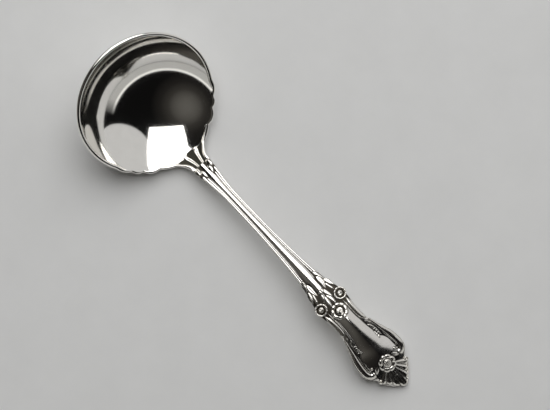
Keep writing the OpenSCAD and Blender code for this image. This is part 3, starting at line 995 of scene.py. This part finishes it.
def end_scroll_form(side):
    """Rolled border of the broad end, a ridge that curls round a bead, and a leaf by the flower."""
    form = Form()
    roll = [(27.8, 6.05), (23, 7.2), (18.5, 8.35), (15, 8.75), (12.6, 8.6), (11.1, 7.7), (10.6, 6)]
    ridge = [(20.5, 6.55), (18, 6.95), (15.5, 7.4), (13.8, 7.35), (12.7, 6.95), (12.4, 6.3)]
    add_ornament(form, roll, 1.2, roll_shape, side, steps=128, fullness=1.6)
    add_ornament(form, ridge, 0.3, reed_shape, side, steps=96)
    add_ornament(form, [(12.4, 3.8), (11.3, 4.75), (10.3, 5.7)], 0.72, leaf_shape, side)
    return add_bead(form, (from_tip(13.1), 5.85 * side), 0.55, 0.5, on_handle)


def tip_flower_form():
    middle = (from_tip(TIP_FLOWER_AT), 0)
    radius = TIP_FLOWER_D / 2
    edge = petal_edge(8, 0.12)
    return add_cap(Form(), middle, radius, tip_flower_height, on_handle, edge, rings=48, spokes=192)


def tip_shell_form():
    """Fan of ridges round the tip flower, whose lobed edge forms the tip, with a drop in its middle."""
    out, per_ridge = 36, 20
    s = np.linspace(-1, 1, SHELL_RIDGES * per_ridge + 1)[None, :]
    a = SHELL_SPREAD * np.sign(s) * np.abs(s) ** SHELL_CROWDING
    wave = np.abs(np.sin(np.pi * SHELL_RIDGES / 2 * s))
    ridge = np.arcsin(SHELL_CREST * wave) / math.asin(SHELL_CREST)
    ridge_w = 2 / SHELL_RIDGES * SHELL_SPREAD * SHELL_CROWDING * np.abs(s) ** (SHELL_CROWDING - 1)
    longer = SHELL_TIP_REACH * np.exp(-((a / SHELL_TIP_SPREAD) ** 2))
    reach = SHELL_REACH + longer - SHELL_NOTCH * (1 - ridge)
    u = np.sin(np.linspace(0, np.pi / 2, out + 1))[:, None]
    r = mix(TIP_FLOWER_D / 2 - 0.3, reach, u)
    x = from_tip(TIP_FLOWER_AT) + r * np.cos(a)
    y = r * np.sin(a)
    end = np.sqrt(1 - np.clip((u - 0.8) / 0.2, 0, 1) ** 2)
    h = 0.06 + (0.12 + 0.05 * bump(u, 0.88, 0.22)) * r * ridge_w * ridge * end
    top = on_handle(x, y, h)
    base = on_handle(x, y, np.full_like(h, UNDERSIDE))
    rings = np.concatenate([top, base[:, ::-1]], axis=1)
    # Painted shade and tarnish darken the furrows between the ridges
    dark = np.concatenate([1 - fade(ridge + 0 * u, 0.05, 0.35), np.ones_like(h)], axis=1)
    form = Form().add(rings, tube_faces(out + 1, rings.shape[1]), dark)
    for side in SIDES.values():
        middle = (from_tip(7.2), 6.5 * side)
        add_cap(form, middle, 0.8, volute_height, on_handle, rings=16, spokes=36)
    return add_ornament(form, [(6.8, 0), (5.7, 0), (4.7, 0)], 0.42, leaf_shape, 1)


# Materials

# Painted shade and tarnish: grain of its border, depths of a recess where it starts and is full, roughness
SHADE_AND_TARNISH_GRAIN = 0.2
SHADE_AND_TARNISH_FROM = 0.45
SHADE_AND_TARNISH_FULL = 1.1
SHADE_AND_TARNISH_ROUGH = 0.38
SCRATCH_DEPTH = 0.02 * MM


def nodes_of(name):
    material = bpy.data.materials.new(name)
    material.use_nodes = True
    tree = material.node_tree
    return material, tree, tree.nodes["Principled BSDF"]


def add_node(tree, kind, **values):
    """Node with values for its sockets and settings."""
    node = tree.nodes.new(kind)
    for key, value in values.items():
        if key in node.inputs:
            node.inputs[key].default_value = value
        else:
            setattr(node, key, value)
    return node


def add_noise(tree, place, scale, detail, roughness):
    noise = add_node(tree, "ShaderNodeTexNoise", Scale=scale, Detail=detail, Roughness=roughness)
    tree.links.new(place, noise.inputs["Vector"])
    return noise.outputs["Fac"]


def add_ramp(tree, source, stops):
    """Colour ramp through (place, colour) stops in rising order."""
    ramp = add_node(tree, "ShaderNodeValToRGB")
    elements = ramp.color_ramp.elements
    while len(elements) < len(stops):
        elements.new(1)
    for element, (place, colour) in zip(elements, stops):
        element.position = place
        element.color = (*colour, 1)
    tree.links.new(source, ramp.inputs["Fac"])
    return ramp.outputs["Color"]


def add_range(tree, source, start, end, low=0, high=1, kind="LINEAR"):
    """Value that goes from low to high while its source goes from start to end."""
    node = add_node(tree, "ShaderNodeMapRange", interpolation_type=kind)
    for socket, limit in zip(("From Min", "From Max", "To Min", "To Max"), (start, end, low, high)):
        node.inputs[socket].default_value = limit
    tree.links.new(source, node.inputs["Value"])
    return node.outputs["Result"]


def add_mix(tree, kind, factor, source, other):
    """Mix of a source and a fixed value, which is full where the factor is 1."""
    node = add_node(tree, "ShaderNodeMix", data_type=kind)
    tree.links.new(factor, node.inputs["Factor"])
    tree.links.new(source, node.inputs["A"])
    node.inputs["B"].default_value = other
    return node.outputs["Result"]


def shade_and_tarnish_mask(tree, place):
    """1 where the recesses are darkened: tarnish, and painted shade in the grooves and creases."""
    depth = add_node(tree, "ShaderNodeAttribute", attribute_name="recess")
    patchy = add_node(tree, "ShaderNodeMath", operation="MULTIPLY_ADD")
    tree.links.new(add_noise(tree, place, scale=2600, detail=3, roughness=0.7), patchy.inputs[0])
    patchy.inputs[1].default_value = SHADE_AND_TARNISH_GRAIN
    tree.links.new(depth.outputs["Fac"], patchy.inputs[2])
    return add_range(tree, patchy.outputs["Value"], SHADE_AND_TARNISH_FROM, SHADE_AND_TARNISH_FULL, kind="SMOOTHSTEP")


def scratch_lines(tree, place):
    """Fine lines that run one way."""
    hair = add_node(
        tree, "ShaderNodeMapping", vector_type="TEXTURE", Scale=(1, 0.03, 1), Rotation=(0, 0, 0.5)
    )
    tree.links.new(place, hair.inputs["Vector"])
    return add_noise(tree, hair.outputs["Vector"], scale=900, detail=2, roughness=0.5)


def silver(name, bright, worn, shade_and_tarnish, smooth, rough, scratch):
    """Polished silver with faint clouds, fine scratches, and tarnish with painted shade in the recesses.
    """
    material, tree, shader = nodes_of(name)
    link = tree.links.new
    place = add_node(tree, "ShaderNodeTexCoord").outputs["Object"]
    clouds = add_noise(tree, place, scale=220, detail=4, roughness=0.6)
    polish = add_ramp(tree, clouds, [(0.35, worn), (0.65, bright)])
    dark = shade_and_tarnish_mask(tree, place)
    lines = scratch_lines(tree, place)
    gloss = add_range(tree, lines, 0.35, 0.75, smooth, rough)
    relief = add_node(tree, "ShaderNodeBump", Strength=scratch, Distance=SCRATCH_DEPTH)
    link(lines, relief.inputs["Height"])
    shader.inputs["Metallic"].default_value = 1
    link(add_mix(tree, "RGBA", dark, polish, (*shade_and_tarnish, 1)), shader.inputs["Base Color"])
    link(add_mix(tree, "FLOAT", dark, gloss, SHADE_AND_TARNISH_ROUGH), shader.inputs["Roughness"])
    link(relief.outputs["Normal"], shader.inputs["Normal"])
    return material


def pale_floor():
    """Matt floor with a faint grain."""
    material, tree, shader = nodes_of("pale_floor")
    place = add_node(tree, "ShaderNodeTexCoord").outputs["Object"]
    grain = add_noise(tree, place, scale=60, detail=5, roughness=0.6)
    tone = add_ramp(tree, grain, [(0.3, (0.76, 0.76, 0.75)), (0.7, (0.79, 0.79, 0.78))])
    tree.links.new(tone, shader.inputs["Base Color"])
    shader.inputs["Roughness"].default_value = 0.85
    return material


# Floor, camera, light and world. The sizes of the floor and lamps are in metres.

FLOOR_HALF = 3.0
LAMP_DISTANCE = 1.5

# The camera's turn, tilt and scale are fitted to the rim, the blossoms and the tip in the photo.
PHOTO_W = 550
VIEW_TURN = math.radians(46.98)
TILT_ALONG = math.radians(1.37)
TILT_ACROSS = math.radians(-3.75)
VIEW_DISTANCE = 1100.0
PIXELS_PER_MM = 2.6828
VIEW_AT = Vector((0.0, 9.86, 5.0))

# Tones of the low wall by the sine of the elevation, and of the glow by the cosine of the angle from its
# middle, with bearing and elevation of both
DARK = (0.004, 0.004, 0.004)
PALE = (0.42, 0.42, 0.41)
WHITE = (0.9, 0.9, 0.88)
WALL_TONES = [(0, PALE), (0.185, PALE), (0.2, WHITE), (0.24, WHITE), (0.255, DARK)]
WALL_AT = (-90, 0)
GLOW_TONES = [
    (0.7, DARK),
    (0.84, (0.014, 0.013, 0.012)),
    (0.92, (0.032, 0.03, 0.027)),
    (1, (0.1, 0.096, 0.088)),
]
GLOW_AT = (-135, 55)


def make_floor():
    """Plain pale floor."""
    mesh = bpy.data.meshes.new("floor")
    corners = [(x * FLOOR_HALF, y * FLOOR_HALF, 0) for x, y in ((-1, -1), (1, -1), (1, 1), (-1, 1))]
    mesh.from_pydata(corners, [], [(0, 1, 2, 3)])
    mesh.materials.append(pale_floor())
    floor = bpy.data.objects.new("floor", mesh)
    bpy.context.scene.collection.objects.link(floor)


def photo_axes():
    """Directions to the right and up in the picture, along the table."""
    right = Vector((math.cos(VIEW_TURN), math.sin(VIEW_TURN), 0))
    return right, Vector((-right.y, right.x, 0))


def direction(bearing, elevation):
    """Direction at a bearing from the picture's right and an elevation over the table, in degrees."""
    right, up = photo_axes()
    bearing, elevation = math.radians(bearing), math.radians(elevation)
    level = right * math.cos(bearing) + up * math.sin(bearing)
    return level * math.cos(elevation) + Vector((0, 0, math.sin(elevation)))


def make_camera():
    back = Vector((math.tan(TILT_ALONG), math.tan(TILT_ACROSS), 1)).normalized()
    right = photo_axes()[0]
    right = (right - back * right.dot(back)).normalized()
    up = back.cross(right)
    data = bpy.data.cameras.new("camera")
    data.sensor_width = 36
    data.lens = PIXELS_PER_MM * VIEW_DISTANCE * data.sensor_width / PHOTO_W
    data.clip_start = 0.01
    data.clip_end = 20
    camera = bpy.data.objects.new("camera", data)
    turned = Matrix((right, up, back)).transposed().to_4x4()
    camera.matrix_world = Matrix.Translation((VIEW_AT + back * VIEW_DISTANCE) * MM) @ turned
    bpy.context.scene.collection.objects.link(camera)
    bpy.context.scene.camera = camera


def make_softbox(name, shape, bearing, elevation, roll, size, radiance):
    """Soft lamp that faces the ladle."""
    towards = direction(bearing, elevation)
    data = bpy.data.lights.new(name, "AREA")
    data.shape = shape
    data.size, data.size_y = size
    face = size[0] * size[1] * (math.pi / 4 if shape == "ELLIPSE" else 1)
    data.energy = radiance * math.pi * face
    light = bpy.data.objects.new(name, data)
    light.location = towards * LAMP_DISTANCE
    rolled = Quaternion((0, 0, 1), math.radians(roll))
    light.rotation_euler = (towards.to_track_quat("Z", "Y") @ rolled).to_euler()
    bpy.context.scene.collection.objects.link(light)


def facing(tree, place, towards):
    """Cosine of the angle between a place on the sky and a direction."""
    cosine = add_node(tree, "ShaderNodeVectorMath", operation="DOT_PRODUCT")
    tree.links.new(place, cosine.inputs[0])
    cosine.inputs[1].default_value = towards
    return cosine.outputs["Value"]


def make_world():
    """Dark room, dimly lit high up on one side, with a pale wall low down at the bottom of the picture."""
    world = bpy.data.worlds.new("studio")
    world.use_nodes = True
    tree = world.node_tree
    link = tree.links.new
    place = add_node(tree, "ShaderNodeTexCoord").outputs["Generated"]
    split = add_node(tree, "ShaderNodeSeparateXYZ")
    link(place, split.inputs["Vector"])
    wall = add_ramp(tree, split.outputs["Z"], WALL_TONES)
    towards_wall = facing(tree, place, direction(*WALL_AT))
    walled = add_ramp(tree, towards_wall, [(0.15, (0, 0, 0)), (0.4, (1, 1, 1))])
    room = add_ramp(tree, facing(tree, place, direction(*GLOW_AT)), GLOW_TONES)
    tone = add_node(tree, "ShaderNodeMix", data_type="RGBA", blend_type="LIGHTEN")
    link(walled, tone.inputs["Factor"])
    link(room, tone.inputs["A"])
    link(wall, tone.inputs["B"])
    link(tone.outputs["Result"], tree.nodes["Background"].inputs["Color"])
    bpy.context.scene.world = world


bpy.context.scene.view_settings.view_transform = "Standard"
make_camera()
make_softbox("key", "RECTANGLE", bearing=92, elevation=57, roll=2, size=(1.37, 1.82), radiance=2.6)
make_softbox("fill", "ELLIPSE", bearing=34, elevation=20, roll=0, size=(1.77, 2.4), radiance=0.55)
make_world()
make_floor()

bowl_silver = silver(
    "bowl_silver",
    bright=(0.94, 0.92, 0.88),
    worn=(0.91, 0.89, 0.85),
    shade_and_tarnish=(0.03, 0.028, 0.022),
    smooth=0.045,
    rough=0.12,
    scratch=0.05,
)
handle_silver = silver(
    "handle_silver",
    bright=(0.93, 0.91, 0.87),
    worn=(0.89, 0.86, 0.81),
    shade_and_tarnish=(0.04, 0.035, 0.028),
    smooth=0.1,
    rough=0.2,
    scratch=0.1,
)
ornament_silver = silver(
    "ornament_silver",
    bright=(0.92, 0.9, 0.85),
    worn=(0.85, 0.82, 0.76),
    shade_and_tarnish=(0.035, 0.03, 0.023),
    smooth=0.12,
    rough=0.26,
    scratch=0.12,
)

PAIRS = {
    "neck_leaf": neck_leaf_form,
    "neck_bud": neck_bud_form,
    "edge_leaf": edge_leaf_form,
    "stem_leaf": stem_leaf_form,
    "calyx_leaf": calyx_leaf_form,
    "blossom": side_blossom_form,
    "waist_reed": waist_reed_form,
    "border_leaf": border_leaf_form,
    "end_scroll": end_scroll_form,
}
forms = {
    "blossom_centre": middle_blossom_form(),
    "tip_flower": tip_flower_form(),
    "tip_shell": tip_shell_form(),
}
for pair, build in PAIRS.items():
    for side_name, side in SIDES.items():
        forms[f"{pair}_{side_name}"] = build(side)

make_bowl(bowl_silver)
make_piece("back_drop", back_drop_form(), handle_silver)
make_handle(handle_silver, np.concatenate([form.all_points() for form in forms.values()]))
for node, form in forms.items():
    make_piece(node, form, ornament_silver)
